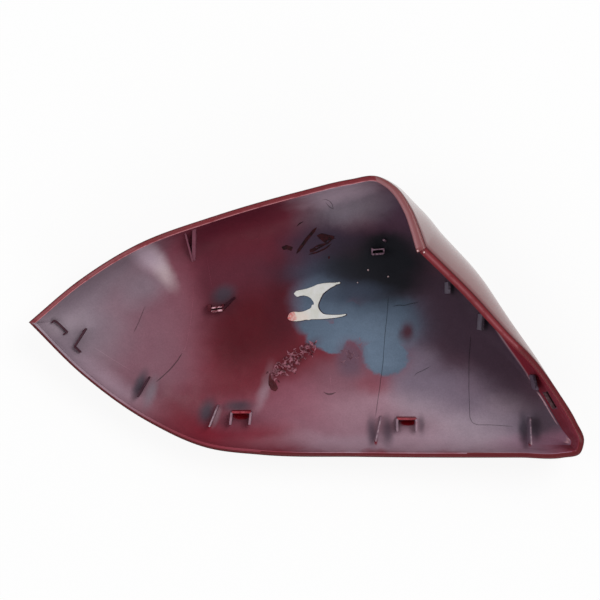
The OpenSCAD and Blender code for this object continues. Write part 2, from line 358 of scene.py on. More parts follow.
def build_shell(materials):
    """The moulded wall; materials: outside, rim, inside, floor and ends of the window, the floor
    dark with painted shade.
    """
    rim = np.stack(rim_rings(), 1)
    grid = np.concatenate([OUTER[:, :-1], rim, INNER[:, -2::-1]], 1)
    width = grid.shape[1]
    edge, inner = RINGS - 1, RINGS - 1 + rim.shape[1]
    slots = []
    for i in range(COUNT):
        red = next(n for row, n in RED_RINGS if i < row * SUB)
        first = edge - 2 if i > LOWER_RIM * SUB else edge
        slots += [0 if j < first else 1 if j < edge + red else 2 for j in range(width - 1)]
    caps = strip_faces(COUNT, width) + strip_faces(COUNT, width, width - 1)
    slots += [0] * (len(caps) // 2) + [2] * (len(caps) - len(caps) // 2)
    values = {key: bands(table, width) for key, table in BANDS.items()}
    # painted highlight along the crease at the foot of the inner end wall
    values["crease_highlight"] = np.zeros((COUNT, width))
    values["crease_highlight"][:, inner:] = crease_highlight_values()[:, -2::-1]
    after, grow, before = END_WALL
    at = np.arange(COUNT) / SUB
    share = np.clip(np.minimum((at - after) / grow, before - at), 0, 1)
    wall = values["end_wall"][:, inner:width - 3 - FACE_RINGS - TURN_RINGS // 2]
    np.maximum(wall, share[:, None], out=wall)
    faces = ring_faces(COUNT, width) + caps
    return make_mesh("cover_shell", grid.reshape(-1, 3), faces, materials, slots, values)


def inner_tree():
    """Search tree of the inner skin, in mm, for seating ribs and marks on it."""
    width = INNER.shape[1]
    faces = ring_faces(COUNT, width) + strip_faces(COUNT, width)
    return BVHTree.FromPolygons([tuple(p) for p in INNER.reshape(-1, 3)], faces)


TREE = inner_tree()


def picked(u, v):
    """Point of the inner skin that shows at place u, v of the frame, and its normal."""
    eye = Vector(EYE + ORIGIN)
    ray = Vector(((u + 0.5 - FRAME / 2) * PIXEL, -(v + 0.5 - FRAME / 2) * PIXEL, -1)).normalized()
    hit = TREE.ray_cast(eye, ray)
    if hit[0] is None:
        place = eye + ray * OFF_REACH
        return Vector((place.x, place.y, OFF_Z)), Vector((0, 0, 1))
    return hit[0], hit[1] if hit[1].dot(ray) < 0 else -hit[1]


def spot(u, v):
    """The same in plan, in metres, in the frame of the solid."""
    p = picked(u, v)[0]
    return ((p.x - ORIGIN[0]) * MM, (p.y - ORIGIN[1]) * MM)


# ---- ribs, clips and bead

# blades are placed in the rows' frame, with heights over the inside of the main face
HOLLOW_TOP = 90
# depth below a blade's top over which its rubbed paint and painted highlight fade out
WORN_AND_LIT_DEPTH = 1.2
BOX_FACES = [(0, 1, 3, 2), (4, 6, 7, 5), (0, 4, 5, 1), (2, 3, 7, 6), (0, 2, 6, 4), (1, 5, 7, 3)]


def boolean(obj, other, operation):
    """New mesh from a boolean of two objects, which both stay as they are."""
    mod = obj.modifiers.new("boolean", "BOOLEAN")
    mod.operation, mod.object, mod.solver = operation, other, "EXACT"
    done = obj.evaluated_get(bpy.context.evaluated_depsgraph_get())
    mesh = bpy.data.meshes.new_from_object(done)
    obj.modifiers.remove(mod)
    return mesh


def discard(obj):
    mesh = obj.data
    bpy.data.objects.remove(obj)
    bpy.data.meshes.remove(mesh)


def hollow_solid():
    """The hollow, from the middle of the wall up: what stands inside is trimmed to it."""
    mid = (OUTER + WALL / 2 * miters(OUTER))[::3]
    top = mid[:, -1].copy()
    top[:, 2] = HOLLOW_TOP
    grid = np.concatenate([mid, top[:, None]], 1)
    count, width = grid.shape[:2]
    faces = ring_faces(count, width) + strip_faces(count, width)
    faces.append([i * width + width - 1 for i in range(count)])
    return raw_object("hollow", grid.reshape(-1, 3), faces)


def blade(p, q, hp, hq, root=ROOT, tip=TIP):
    """Tapered blade from p to q, hp and hq high over the main face, with eased edges."""
    p, q = np.array(p, float), np.array(q, float)
    along = unit(q - p)
    side = np.array([-along[1], along[0]])
    zp, zq = face_z(*p) + WALL, face_z(*q) + WALL
    points = []
    for xy, z, t in (
        (p, zp - 2 * WALL, root), (q, zq - 2 * WALL, root), (p, zp + hp, tip), (q, zq + hq, tip),
    ):
        points += [[*(xy + side * t / 2), z], [*(xy - side * t / 2), z]]
    obj = raw_object("blade", points, BOX_FACES, min(CHAMFER, tip * 0.3))
    return obj, (p, q, zp + hp, zq + hq)


def rib_piece(name, blades, hollow, mat):
    """One piece of several blades, each trimmed to the hollow; the value for rubbed paint and
    painted highlight is 1 along their tops.
    """
    parts, worn = [], []
    for spec in blades:
        obj, (p, q, zp, zq) = blade(*spec)
        mesh = boolean(obj, hollow, "INTERSECT")
        discard(obj)
        got = np.array([v.co[:] for v in mesh.vertices])
        parts.append((got, [tuple(f.vertices) for f in mesh.polygons]))
        bpy.data.meshes.remove(mesh)
        along = (got[:, :2] - p) @ (q - p) / ((q - p) @ (q - p))
        below = zp + (zq - zp) * np.clip(along, 0, 1) - got[:, 2]
        worn.append(np.clip(1 - below / WORN_AND_LIT_DEPTH, 0, 1))
    return make_mesh(name, *joined(parts), [mat], None, {"worn": np.concatenate(worn)})


HOOKS = [
    (p, q, hp, hq, 0.9, 0.7) for p, q, hp, hq in (
        ([-110, -1.2], [-104.6, -6.4], 3, 2.6), ([-110, -1.2], [-111.4, -2.2], 3, 3),
        ([-104.6, -6.4], [-106.4, -7.4], 2.6, 2.6), ([-96.6, -4.8], [-101.4, -12.6], 4.5, 5.5),
        ([-101.4, -12.6], [-98.8, -15.2], 5.5, 4.5), ([-96.6, -4.8], [-98.2, -6.4], 4.5, 3.5),
    )
]
GUSSET_LEFT = [([-69.2, -26], [-74, -34.5], 5, 11, 1.1, 0.6)]
GUSSETS = [
    ([-39.2, -38.5], [-42.8, -47.6], 6, 12, 1.5, 0.7),
    ([32.5, -43.5], [29.8, -54], 6, 14, 1.5, 0.7), ([97.4, -44], [97, -55], 8, 15, 1.5, 0.7),
]
TABS = [([61.5, 15.5], [61.5, 10.5], 23, 23, 1.4, 1), ([76.3, 1.5], [75.8, -5.5], 22, 22, 1.6, 1.2)]
TAB_LOW = [([98.3, -25], [99.9, -31.5], 16, 16, 1.6, 1.2)]
WEDGES = [
    ([-53, 36.5], [-50.6, 24.5], 16, 1.2, 1.2, 0.8), ([-49, 39.5], [-50.2, 25], 20, 1.2, 2.2, 1.6),
]
# clip pockets: middle of the bar, how far the legs lean; half width, depth and height of both
POCKETS = [(-29, -41.5, 0.6), (43.6, -44.5, 0)]
POCKET_W, POCKET_D, POCKET_H = 4.2, 5.5, 9
POCKET_BARS = [([x - POCKET_W, y], [x + POCKET_W, y], POCKET_H, POCKET_H) for x, y, _ in POCKETS]
POCKET_LEGS = [
    ([x + w, y], [x + w - lean, y - POCKET_D], POCKET_H, POCKET_H)
    for x, y, lean in POCKETS for w in (-POCKET_W, POCKET_W)
]
TOWER_LEFT = [([-43.2, 2.7], [-43.2, 5.7], 5.6, 5.6, 2, 1.7), ([-37, 3.1], [-37.3, 5.9], 6, 5)]
TOWER_BARS = [
    ([-42.3, 2.5], [-37.4, 3.2], 6, 6, 1.2, 0.9), ([-42.3, 4], [-37.4, 4.8], 5.6, 5.6, 1.0, 0.7),
]
TOWER_FIN = [([-37, 3.9], [-32, 8.9], 6, 1.5)]
TOWER_RIGHT = [
    ([28.6, 27.7], [33.8, 28.2], 6, 6, 1.1, 0.8), ([28.6, 29.8], [33.8, 30.2], 5.6, 5.6, 0.9, 0.6),
    ([28.6, 27.7], [28.6, 30.6], 6, 5, 1, 0.7), ([33.8, 28.2], [33.7, 30.6], 6, 5, 1, 0.7),
    ([35, 33.5], [33.4, 34.4], 3, 3, 1.2, 0.9),
]

# name, blades, tint in place of the overspray, its share, how strongly the tops take their own
# colour (rubbed paint and painted highlight of lit tops, dark on the tabs), and that colour
RIBS = [
    ("tip_hooks", HOOKS, (56, 10, 28), 0.92, 0, (120, 60, 76)),
    ("gusset_left", GUSSET_LEFT, (52, 26, 38), 0.85, 0.1, (90, 60, 70)),
    ("gussets", GUSSETS, (116, 96, 112), 0.45, 0.75, (176, 152, 162)),
    # pocket bars: light tops of rubbed paint and painted highlight where light catches the bars
    ("pocket_bars", POCKET_BARS, (118, 16, 28), 0.9, 0.5, (180, 84, 94)),
    ("pocket_legs", POCKET_LEGS, (134, 112, 126), 0.6, 0.3, (176, 146, 156)),
    ("tower_left", TOWER_LEFT, (62, 8, 20), 0.9, 0.2, (120, 50, 64)),
    # tower bars: their bright dashes are painted highlight on the lit faces of the bars
    ("tower_bars", TOWER_BARS, (92, 20, 34), 0.9, 0.95, (228, 176, 188)),
    ("tower_fin", TOWER_FIN, (40, 14, 24), 0.85, 0.1, (110, 60, 74)),
    ("tower_right", TOWER_RIGHT, (66, 46, 58), 0.7, 0.8, (150, 120, 136)),
    ("tabs", TABS, (132, 124, 138), 0.85, 0.9, (46, 34, 44)),
    ("tab_low", TAB_LOW, (112, 98, 114), 0.85, 0.9, (46, 34, 44)),
    ("wedge_ribs", WEDGES, (140, 84, 100), 0.7, 0.1, (150, 124, 140)),
]


def rim_bead(mat):
    """Bead over the rim: it rises out of the wall below the peak and ends in a step."""
    first, last = BEAD
    rim, inner = OUTER[first:last + 1, -1], INNER[first:last + 1, -1]
    m = inner - rim
    m[:, 2] = 0
    m = unit(m)
    t = np.linspace(0, 1, len(rim))[:, None]
    start, sunk = 0.7 * WALL, 0.3
    w = start + (LIP_W - start) * t ** 0.7
    h = (LIP_H + sunk) * np.minimum(1, 3.5 * t) - sunk
    up = np.array([[0, 0, 1.0]])
    rows = [rim + m * 0.12 - up * 1.2]
    for a in np.linspace(0, math.pi, 10):
        out = (1 - math.cos(a)) / 2
        rows.append(rim + m * w * (0.05 + 0.95 * out) + up * (h * math.sin(a) ** 0.8 - 0.35 * out))
    rows += [rim + m * w - up * 1.6, rim + m * (0.6 * WALL) - up * 4.5]
    grid = np.stack(rows, 1)
    count, width = grid.shape[:2]
    faces = ring_faces(count, width, False)
    for a in range(0, (count - 1) * width, width):
        faces.append((a + width - 1, a + 2 * width - 1, a + width, a))
    faces += [tuple(range(width)), tuple((count - 1) * width + j for j in range(width))]
    # painted light across the rounded bead: darkest at its outer foot, lightest near its inner edge
    worn = np.zeros((count, width))
    worn[:-2, 1:] = [0, 0, 0.05, 0.12, 0.25, 0.42, 0.6, 0.8, 0.95, 1, 0.5, 0]
    return make_mesh("rim_bead", grid.reshape(-1, 3), faces, [mat], None, {"worn": worn})


# ---- marks on the inner skin

# how deep marks are sunk in the wall; steps along a line, round a film and inside it
SINK = 0.35
LINE_STEP, RING_STEP, GRID_STEP = 2.2, 1.3, 2.1


def resampled(line, step, closed=False):
    """Points of a drawn line, at even steps, in the same frame."""
    line = np.array(list(line) + ([line[0]] if closed else []), float)
    lengths = np.linalg.norm(np.diff(line, axis=0), axis=1)
    total = lengths.sum()
    n = max(2, int(round(total / step)))
    at = np.linspace(0, total, n + 1)
    cum = np.concatenate([[0], np.cumsum(lengths)])
    out = np.stack([np.interp(at, cum, line[:, k]) for k in range(2)], 1)
    return out[:-1] if closed else out


def seated(spots):
    """Points of the inner skin under drawn spots, and the normals there."""
    seats = [picked(u, v) for u, v in spots]
    return np.array([s[0][:] for s in seats]), np.array([s[1][:] for s in seats])


def ribbon(line, width, height):
    """Closed thin ridge along a drawn line, tapered at both ends and sunk in the wall."""
    p, n = seated(resampled(line, LINE_STEP))
    side = unit(np.cross(n, unit(np.gradient(p, axis=0))))
    k = np.arange(len(p))
    taper = np.minimum(1, np.minimum(k + 0.6, len(p) - k - 0.4) / 2.5)[:, None]
    half = side * width / 2 * taper
    top = n * height * taper
    rows = [p - half - n * SINK, p - half * 0.75 + top, p + half * 0.75 + top, p + half - n * SINK]
    count = len(p)
    faces = [
        (i * 4 + j, (i + 1) * 4 + j, (i + 1) * 4 + (j + 1) % 4, i * 4 + (j + 1) % 4)
        for i in range(count - 1) for j in range(4)
    ]
    faces += [(0, 1, 2, 3), tuple((count - 1) * 4 + j for j in (3, 2, 1, 0))]
    return np.stack(rows, 1).reshape(-1, 3), faces


def ridges(lines, height):
    return [ribbon(line, width, height) for line, width in lines]


def within(ring, spots):
    """Which spots lie inside a closed drawn ring."""
    a, b = ring, np.roll(ring, -1, 0)
    u, v = spots[:, :1], spots[:, 1:]
    crosses = (a[:, 1] > v) != (b[:, 1] > v)
    at = a[:, 0] + (v - a[:, 1]) / (b[:, 1] - a[:, 1] + 1e-12) * (b[:, 0] - a[:, 0])
    return (crosses & (u < at)).sum(1) % 2 == 1


def film(outline, height, grow=0.0, shift=(0, 0)):
    """Thin closed film with a drawn outline, seated on the inner skin at every point."""
    ring = resampled(outline, RING_STEP, True)
    if grow:
        ahead, behind = np.roll(ring, -1, 0), np.roll(ring, 1, 0)
        normal = unit(np.stack([-(ahead - behind)[:, 1], (ahead - behind)[:, 0]], 1))
        ring = ring - normal * grow
    ring = ring + shift
    axes = [np.arange(low, high, GRID_STEP) for low, high in zip(ring.min(0), ring.max(0))]
    inner = np.stack(np.meshgrid(*axes), -1).reshape(-1, 2)
    spots = [Vector(s) for s in np.concatenate([ring, inner[within(ring, inner)]])]
    spots, _, triangles = delaunay_2d_cdt(spots, [], [tuple(range(len(ring)))], 1, 1e-4)[:3]
    p, n = seated(spots)
    edges = {(t[k], t[(k + 1) % 3]) for t in triangles for k in range(3)}
    ahead = {a: b for a, b in edges if (b, a) not in edges}
    behind = {b: a for a, b in ahead.items()}
    top, side, count = p + n * height, sorted(ahead), len(p)
    for a in side:
        top[a] += unit(np.cross(p[ahead[a]] - p[behind[a]], n[a])) * 0.08
    middle = {a: 2 * count + k for k, a in enumerate(side)}
    points = np.concatenate([p - n * SINK, top, (p + n * height * 0.5)[side]])
    faces = [tuple(reversed(t)) for t in triangles]
    faces += [tuple(count + i for i in t) for t in triangles]
    for a in side:
        b = ahead[a]
        faces += [(a, b, middle[b], middle[a]), (middle[a], middle[b], count + b, count + a)]
    return points, faces


def dome(seat, n, radius, height):
    """Small low dome at a point with a normal."""
    a = n.orthogonal().normalized()
    b = n.cross(a)
    points, faces, k = [], [], 10
    for r, h in ((1, -SINK), (1, 0.25 * height), (0.75, 0.75 * height), (0.35, height)):
        for i in range(k):
            t = 2 * math.pi * i / k
            points.append((seat + (a * math.cos(t) + b * math.sin(t)) * radius * r + n * h)[:])
    for j in range(0, 3 * k, k):
        faces += [(j + i, j + (i + 1) % k, j + k + (i + 1) % k, j + k + i) for i in range(k)]
    faces += [tuple(range(k)), tuple(3 * k + i for i in range(k))]
    return np.array(points), faces


def ring_line(u, v, r):
    turns = [2 * math.pi * i / 26 for i in range(27)]
    return [(u + r * math.cos(a), v + r * math.sin(a)) for a in turns]


# drawn places are in the frame that the camera sees, widths of lines in mm
DARK_LINES = [
    ([(388, 296), (386.5, 315), (384.2, 336), (382.6, 361), (379.4, 386), (376.5, 405),
      (375, 416)], 0.3),
    ([(470.3, 334.5), (468.4, 361), (468.4, 390), (469.3, 416.8), (472, 422.5), (477, 424.4),
      (491, 424.4), (512.4, 426)], 0.28),
    ([(392, 306), (398, 304.6), (404, 305), (411, 303), (418.6, 301.8)], 0.4),
    ([(413.8, 375.7), (415.7, 372.8), (422.4, 370), (430, 366)], 0.32),
    ([(182, 352), (177, 360), (170, 368.5), (163.5, 374.7), (155.8, 381.4)], 0.55),
    ([(321, 199.7), (325, 198.7), (329, 200.5), (331.6, 203.5), (332.8, 208.6), (328.7, 206.3),
      (324.9, 201.6)], 0.34),
    ([(144.4, 305.8), (138.6, 321), (132.9, 332.6)], 0.26),
    ([(323, 391.4), (326, 393.4), (330.4, 393.8), (335.4, 391.8)], 0.85),
]
FAINT_LINES = [
    ([(193, 283), (192.2, 300), (190.8, 317), (188.4, 332.6), (185.5, 346), (180.7, 354.6)], 0.4),
    ([(93.7, 347), (104.2, 353.7), (115.7, 361), (129, 369)], 0.4),
    ([(206.5, 256), (208.4, 269.5), (211.3, 284.8)], 0.4),
    ([(329.7, 374.7), (330.6, 386)], 0.4),
    (ring_line(250.5, 229.5, 10.5), 0.3),
]
# painted highlight: a pale ridge where the crease runs into the corner
CORNER_HIGHLIGHT_LINES = [([(565.5, 436.4), (567.6, 439.8), (569.6, 443)], 0.75)]
STROKES = [
    ([(316, 227), (311, 233), (306, 239), (301, 246), (296, 253)], 1.7),
    ([(334, 236), (328, 242), (319, 247), (309, 252)], 0.8),
    ([(308, 254), (316, 252), (325, 248), (331, 243)], 0.8),
    ([(318, 238), (326, 236.5), (335, 238)], 0.9),
    ([(313, 247), (320, 244.5), (328, 243)], 1.0),
    ([(296, 226), (299, 223), (303, 221)], 0.7),
]
BLOTS = [
    [(316, 235), (321, 232.6), (327, 234), (334, 235.6), (333, 239), (327, 240), (325, 243),
     (320, 239)],
    [(281, 246.5), (286, 244.4), (292.5, 246.6), (291, 250.6), (286, 248.8), (283, 249.6)],
    [(309, 249), (314, 247), (318, 248.6), (313, 251.4), (309.4, 252)],
    [(327.4, 256), (329.4, 255.4), (329.6, 258), (327.8, 258.4)],
]
RESIDUE = [
    (293.3, 293.2), (295.6, 290.4), (299.4, 289.6), (305.6, 288.4), (311.7, 286.3), (316.8, 284),
    (321.9, 282.8), (329, 282.2), (335.1, 282.2), (338.7, 281.5), (340.2, 282.3), (338.7, 283.5),
    (335.7, 283.9), (334.1, 285.3), (330, 287.3), (326, 290.2), (322.4, 293.2), (320.6, 296.5),
    (318.8, 300.6), (317.5, 304.2), (317.8, 307.5), (319.8, 310.8), (322.9, 313.4), (326.5, 314.1),
    (334.1, 314.4), (340.8, 314.1), (345.3, 313.4), (345.9, 314.4), (341.8, 315.9), (335.7, 317.2),
    (327, 318.2), (318.8, 318.7), (310.7, 318.7), (308.6, 319.5), (305.6, 319.2), (300.4, 320.3),
    (295.9, 320.8), (290.8, 320.5), (288.5, 319.5), (286.9, 318), (287.7, 314.9), (289.7, 312.1),
    (293.3, 311.1), (298.4, 311.6), (303.5, 310.8), (307.6, 309), (310.7, 307.2), (311.2, 304.4),
    (313.7, 303.9), (312.7, 301.1), (310.7, 298.1), (307.6, 296), (303.5, 295), (299.9, 295.3),
    (296.6, 296.5), (294.8, 295),
]
DROP = [
    (269.5, 372), (271, 378), (275, 382), (277.5, 388), (275, 391), (270.5, 389), (268, 384),
    (268.2, 377),
]
# two painted glints of light on the end step of the bead, from its last rim point in mm
GLINTS = ((-3.6, -1.45, 0.35), (-0.9, -2.1, -0.1))
# specks: place, radius and height in mm
SPECKS = [(367.6, 269.5, 0.42, 0.3), (387.6, 276, 0.42, 0.3), (357, 282, 0.3, 0.2)]
# wrinkled patches: seed, count, middle, half sizes, turn, step and widths of the ridges
WRINKLES = (7, 95, (292, 360), (28, 8.5), -0.66, 1.4, (0.6, 1.3))
CRUMBS = (11, 20, (352, 352), (15, 7), -0.9, 1.5, (0.35, 0.75))


def wrinkles(seed, count, centre, half, turn, size, widths):
    """Short worm-like ridges of dried paint, scattered over a slanted band."""
    rng = random.Random(seed)
    c, s = math.cos(turn), math.sin(turn)
    out = []
    for _ in range(count):
        a, b = rng.uniform(-1, 1) * half[0], rng.gauss(0, 0.45) * half[1]
        u, v = centre[0] + a * c - b * s, centre[1] + a * s + b * c
        heading = rng.uniform(0, 2 * math.pi)
        bend = rng.uniform(-0.9, 0.9)
        r = rng.uniform(0.7, 1.3) * size
        line = [(u, v)]
        for _ in range(rng.randint(3, 6)):
            u, v = u + r * math.cos(heading), v + r * math.sin(heading)
            heading += bend
            line.append((u, v))
        out.append((line, rng.uniform(*widths)))
    return out


# ---- materials


def srgb(r, g, b):
    """Linear colour from 8-bit display values."""
    def one(c):
        c /= 255
        return c / 12.92 if c <= 0.04045 else ((c + 0.055) / 1.055) ** 2.4
    return one(r), one(g), one(b), 1.0


class Nodes:
    """Short calls for building one node tree."""

    def __init__(self, tree):
        self.tree = tree

    def add(self, kind, **settings):
        node = self.tree.nodes.new(kind)
        for key, value in settings.items():
            setattr(node, key, value)
        return node

    def put(self, socket, value):
        if isinstance(value, bpy.types.NodeSocket):
            self.tree.links.new(value, socket)
        else:
            socket.default_value = value

    def fill(self, node, inputs):
        """Values or sockets for named inputs of a node."""
        for key, value in inputs.items():
            self.put(node.inputs[key], value)

    def math(self, operation, a, b, kind="ShaderNodeMath"):
        node = self.add(kind, operation=operation)
        self.put(node.inputs[0], a)
        self.put(node.inputs[1], b)
        return node.outputs[0]

    def times(self, a, b):
        return self.math("MULTIPLY", a, b)

    def vector(self, operation, a, b):
        return self.math(operation, a, b, "ShaderNodeVectorMath")

    def length(self, a):
        node = self.add("ShaderNodeVectorMath", operation="LENGTH")
        self.put(node.inputs[0], a)
        return node.outputs["Value"]

    def scaled(self, a, factor):
        node = self.add("ShaderNodeVectorMath", operation="SCALE")
        self.put(node.inputs[0], a)
        node.inputs["Scale"].default_value = factor
        return node.outputs["Vector"]

    def mix(self, factor, a, b, blend="MIX"):
        node = self.add("ShaderNodeMix", data_type="RGBA", blend_type=blend)
        self.put(node.inputs[0], factor)
        self.put(node.inputs[6], a)
        self.put(node.inputs[7], b)
        return node.outputs[2]

    def mottled(self, colour, factor, low, high):
        """Colour multiplied by grey-like tones between low and high."""
        return self.mix(1.0, colour, self.mix(factor, (*low, 1), (*high, 1)), "MULTIPLY")

    def span(self, value, a, b, lo=0.0, hi=1.0):
        node = self.add("ShaderNodeMapRange", interpolation_type="SMOOTHSTEP")
        for socket, v in zip(node.inputs[:5], (value, a, b, lo, hi)):
            self.put(socket, v)
        return node.outputs[0]

    def noise(self, scale, detail=2.0, rough=0.5, distortion=0.0, vector=None, output="Fac"):
        """Noise over the object's own place, or over another vector."""
        vector = self.place() if vector is None else vector
        node = self.add("ShaderNodeTexNoise")
        names = ("Vector", "Scale", "Detail", "Roughness", "Distortion")
        self.fill(node, dict(zip(names, (vector, scale, detail, rough, distortion))))
        return node.outputs[output]

    def place(self):
        return self.add("ShaderNodeTexCoord").outputs["Object"]

    def attribute(self, name):
        return self.add("ShaderNodeAttribute", attribute_name=name).outputs["Fac"]

    def bump(self, height, strength, distance, normal=None):
        node = self.add("ShaderNodeBump")
        self.fill(node, {"Height": height, "Strength": strength, "Distance": distance})
        if normal is not None:
            self.put(node.inputs["Normal"], normal)
        return node.outputs[0]


PALETTE = {
    "rose": (120, 54, 68), "mauve": (124, 84, 97), "ash": (130, 114, 125), "fog": (164, 148, 158),
    "wine": (88, 34, 48), "crimson": (78, 9, 23), "maroon": (72, 12, 26), "brick": (106, 30, 42),
    "blush": (136, 78, 94), "pink": (156, 120, 133), "lilac": (168, 152, 164),
    "dusk": (118, 105, 121), "plum": (70, 52, 66), "violet": (80, 52, 70),
    "smoke": (132, 120, 132), "dim": (52, 42, 58), "slate": (81, 96, 114), "steel": (97, 114, 133),
    "ink": (24, 25, 32), "halo": (64, 56, 68), "streak highlight": (186, 166, 170), "red": (128, 32, 46),
    "deep": (138, 14, 28), "grape": (92, 76, 92), "flare": (182, 134, 158), "storm": (56, 65, 81),
    "haze": (184, 164, 178), "shade": (62, 72, 88), "end wall": (142, 38, 52),
    "crease_highlight": (232, 186, 196),
}

# soft patches of overspray, and a few of painted highlight: colour, place and half sizes in the
# frame, softness, share, turn
PATCHES = [
    ("mauve", 125, 345, 66, 110, 0.6, 1), ("ash", 64, 322, 54, 54, 0.6, 1),
    ("fog", 54, 320, 30, 14, 0.9, 0.7), ("ash", 100, 272, 60, 22, 0.6, 0.9, 34),
    ("ash", 142, 286, 22, 16, 0.8, 0.8, 30), ("fog", 92, 264, 46, 9, 0.8, 0.8, 36),
    ("haze", 122, 392, 72, 10, 0.9, 0.45, -34), ("wine", 240, 262, 50, 74, 0.35, 1),
    ("wine", 275, 290, 30, 80, 0.5, 0.8), ("red", 252, 232, 44, 22, 0.8, 0.25, 14),
    ("brick", 242, 375, 40, 42, 0.7, 0.8), ("brick", 300, 358, 42, 24, 0.6, 0.95),
    ("crimson", 250, 328, 46, 36, 0.6, 1, 18), ("maroon", 282, 300, 14, 44, 0.8, 0.85),
    ("pink", 395, 424, 128, 40, 0.45, 1), ("blush", 298, 404, 40, 24, 0.7, 0.8),
    ("pink", 352, 404, 40, 20, 0.6, 0.4), ("mauve", 342, 374, 32, 18, 0.8, 0.85),
    ("lilac", 482, 424, 52, 24, 0.7, 0.95), ("lilac", 424, 400, 28, 18, 0.9, 0.8),
    ("dusk", 420, 378, 32, 18, 0.7, 0.9), ("dusk", 468, 386, 58, 30, 0.6, 0.9),
    ("dusk", 545, 425, 44, 30, 0.7, 0.9), ("lilac", 504, 402, 18, 10, 0.9, 0.4),
    ("plum", 478, 332, 92, 34, 0.5, 1, -48), ("plum", 442, 346, 26, 24, 0.7, 0.9),
    ("dusk", 422, 359, 16, 14, 0.7, 0.9), ("violet", 402, 222, 40, 42, 0.6, 1),
    # the smoke and haze patches under the top rim here are painted highlight on the concave wall
    ("grape", 376, 200, 26, 14, 0.7, 0.6, -20), ("smoke", 344, 206, 38, 21, 0.7, 1, 12),
    ("haze", 336, 192, 34, 9, 0.8, 1, 16), ("dim", 324, 246, 38, 28, 0.6, 0.95),
    ("dim", 350, 276, 66, 18, 0.6, 1), ("dim", 352, 238, 24, 12, 0.8, 0.8),
    ("storm", 328, 272, 28, 13, 0.9, 0.75), ("wine", 436, 268, 15, 16, 0.8, 0.25),
    ("blush", 244, 414, 36, 16, 0.8, 0.6), ("red", 198, 436, 60, 14, 0.8, 0.75, -24),
    ("red", 262, 440, 34, 16, 0.8, 0.7, -6), ("haze", 430, 443, 140, 9, 0.8, 0.4),
    ("red", 420, 457, 170, 5, 0.7, 0.7), ("brick", 184, 412, 26, 18, 0.9, 0.55, -24),
    ("lilac", 262, 388, 5, 18, 0.9, 0.4, -20), ("red", 372, 384, 16, 8, 0.9, 0.35),
]
# the bare primer: torn edge below, soft fade above and beside; a notch in it, its own tones
PRIMER_TORN = [(332, 337, 27, 15), (385, 355, 25, 20), (352, 322, 22, 20)]
PRIMER_SOFT = [(324, 302, 29, 24), (384, 320, 48, 32), (314, 326, 18, 12)]
NOTCH = (350, 359, 9, 18)
PRIMER_TONES = [("steel", 372, 345, 44, 28, 0.8, 1), ("shade", 352, 296, 64, 12, 0.9, 0.5)]
# patches over the edge of the primer
LATE_PATCHES = [
    ("ink", 388, 262, 48, 27, 0.6, 1), ("ink", 352, 268, 26, 14, 0.8, 0.7),
    ("ink", 386, 284, 34, 11, 0.8, 0.9), ("ink", 410, 290, 40, 11, 0.8, 0.6, 8),
    ("ink", 386, 246, 22, 12, 0.6, 0.9), ("plum", 440, 312, 24, 40, 0.7, 0.8),
    ("grape", 350, 356, 13, 18, 0.6, 0.7), ("storm", 354, 292, 28, 9, 0.8, 0.9),
    # the flare patches lighten the corner by the crease's end: painted light
    ("maroon", 406, 331, 6, 9, 0.8, 0.85), ("flare", 562, 440, 16, 10, 0.8, 0.8),
    ("flare", 545, 444, 40, 7, 0.8, 0.5),
]
# patches with little warp beside ribs and clips: painted shade (halo beside the blades, partly
# overspray that fell thin; ink in the gaps by the wall), the painted highlight streak on the upper
# left wall, and overspray tones
PLACED = [
    ("streak highlight", 159, 265, 20, 7, 0.9, 0.95, -58), ("haze", 147, 255, 15, 10, 0.9, 0.95, -40),
    ("halo", 223, 294, 11, 8, 0.7, 0.85, 30), ("halo", 139, 384, 4.5, 12, 0.8, 0.9, -22),
    ("ash", 150, 392, 5, 13, 0.8, 0.85, -16), ("halo", 206, 411, 6.5, 11, 0.8, 0.9, -20),
    ("fog", 216, 416, 3, 9, 0.7, 0.4, -20), ("halo", 238, 405.5, 13, 5, 0.8, 0.8),
    ("halo", 371, 430, 4.5, 12, 0.8, 0.7), ("halo", 387, 430, 5, 12, 0.8, 0.7),
    ("halo", 397, 424, 3, 8, 0.8, 0.5), ("halo", 421, 424, 3, 8, 0.8, 0.5),
    ("halo", 523, 428, 4.5, 14, 0.8, 0.8), ("halo", 535, 428, 5, 12, 0.8, 0.7),
    ("deep", 240.5, 415.5, 8, 3.4, 0.3, 1), ("deep", 407.5, 422, 8, 3.0, 0.3, 1),
    ("ink", 452, 287, 2.2, 6, 0.7, 0.9), ("ink", 485.5, 321, 2.0, 8, 0.7, 0.8),
    ("crimson", 291, 361, 27, 7, 0.7, 0.85, 38), ("red", 208.8, 426, 1.4, 2.6, 0.7, 0.9),
    ("red", 375.2, 441, 1.4, 2.6, 0.7, 0.9), ("red", 529, 442.5, 1.4, 2.6, 0.7, 0.9),
]


def patch(n, vector, u, v, ru, rv, soft, turn=0):
    """1 inside a soft ellipse drawn in the frame and turned by degrees, 0 outside."""
    x, y = spot(u, v)
    pixel = (EYE[2] - SKIN_Z) * MM * PIXEL
    node = n.add("ShaderNodeMapping", vector_type="TEXTURE")
    n.fill(node, {
        "Vector": vector, "Location": (x, y, 0), "Rotation": (0, 0, math.radians(turn)),
        "Scale": (ru * pixel, rv * pixel, 1000),
    })
    return n.span(n.length(node.outputs[0]), 1 + soft, 1 - soft)


def patched(n, colour, vector, patches):
    """Colour with soft patches of the palette laid over it, one after the other."""
    for name, u, v, ru, rv, soft, share, *turn in patches:
        mask = n.times(patch(n, vector, u, v, ru, rv, soft, *turn), share)
        colour = n.mix(mask, colour, srgb(*PALETTE[name]))
    return colour


